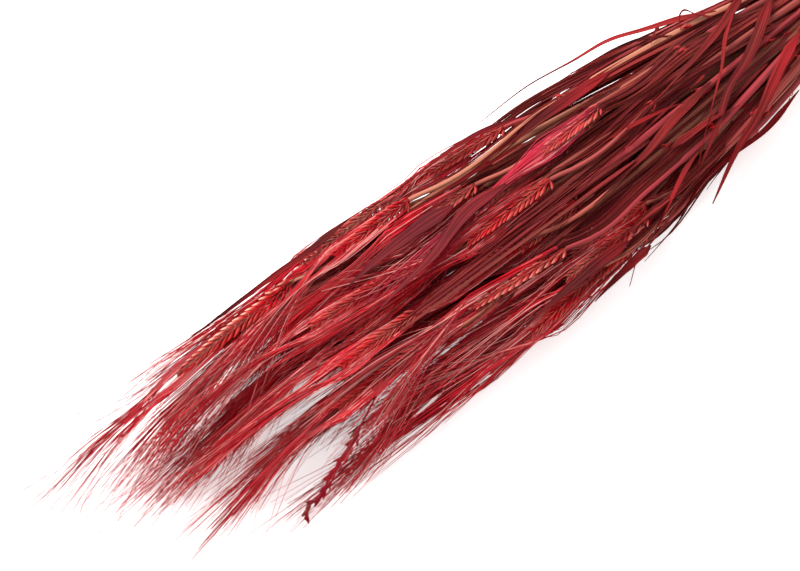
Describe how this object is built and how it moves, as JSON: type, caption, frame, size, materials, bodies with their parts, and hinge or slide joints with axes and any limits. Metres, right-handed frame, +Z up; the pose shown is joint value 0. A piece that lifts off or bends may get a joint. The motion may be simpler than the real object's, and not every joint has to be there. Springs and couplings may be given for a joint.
{
  "type": "bundle of dried barley",
  "caption": "Tied bundle of red-dyed, dried barley with long awns, loose leaf blades and cut stems, lying on its side.",
  "frame": {"origin": "on the table, under the middle of the bundle's bounding box", "axes": "+X along the bundle towards the cut stem ends, -X towards the awns, +Y to one side, +Z up"},
  "size_m": [0.5998, 0.1306, 0.0434],
  "materials": {
    "dyed_straw": "matte dyed straw, ears a little brighter",
    "dyed_leaf": "dry papery leaf with a faint sheen",
    "twine": "rough natural twine"
  },
  "bodies": {
    "root": {"stalk_01": "dyed_straw", "stalk_02": "dyed_straw", "stalk_03": "dyed_straw", "stalk_04": "dyed_straw", "stalk_05": "dyed_straw", "stalk_06": "dyed_straw", "stalk_07": "dyed_straw", "stalk_08": "dyed_straw", "stalk_09": "dyed_straw", "stalk_10": "dyed_straw", "stalk_11": "dyed_straw", "stalk_12": "dyed_straw", "stalk_13": "dyed_straw", "stalk_14": "dyed_straw", "stalk_15": "dyed_straw", "stalk_16": "dyed_straw", "stalk_17": "dyed_straw", "stalk_18": "dyed_straw", "stalk_19": "dyed_straw", "stalk_20": "dyed_straw", "stalk_21": "dyed_straw", "stalk_22": "dyed_straw", "stalk_23": "dyed_straw", "stalk_24": "dyed_straw", "stalk_25": "dyed_straw", "stalk_26": "dyed_straw", "stalk_27": "dyed_straw", "stalk_28": "dyed_straw", "stalk_29": "dyed_straw", "stalk_30": "dyed_straw", "stalk_31": "dyed_straw", "stalk_32": "dyed_straw", "stalk_33": "dyed_straw", "stalk_34": "dyed_straw", "stalk_35": "dyed_straw", "stalk_36": "dyed_straw", "stalk_37": "dyed_straw", "stalk_38": "dyed_straw", "stalk_39": "dyed_straw", "stalk_40": "dyed_straw", "stalk_41": "dyed_straw", "stalk_42": "dyed_straw", "leaf_01": "dyed_leaf", "leaf_02": "dyed_leaf", "leaf_03": "dyed_leaf", "leaf_04": "dyed_leaf", "leaf_05": "dyed_leaf", "leaf_06": "dyed_leaf", "leaf_07": "dyed_leaf", "leaf_08": "dyed_leaf", "leaf_09": "dyed_leaf", "leaf_10": "dyed_leaf", "leaf_11": "dyed_leaf", "leaf_12": "dyed_leaf", "leaf_13": "dyed_leaf", "leaf_14": "dyed_leaf", "leaf_15": "dyed_leaf", "tie": "twine"}
  },
  "joints": []
}
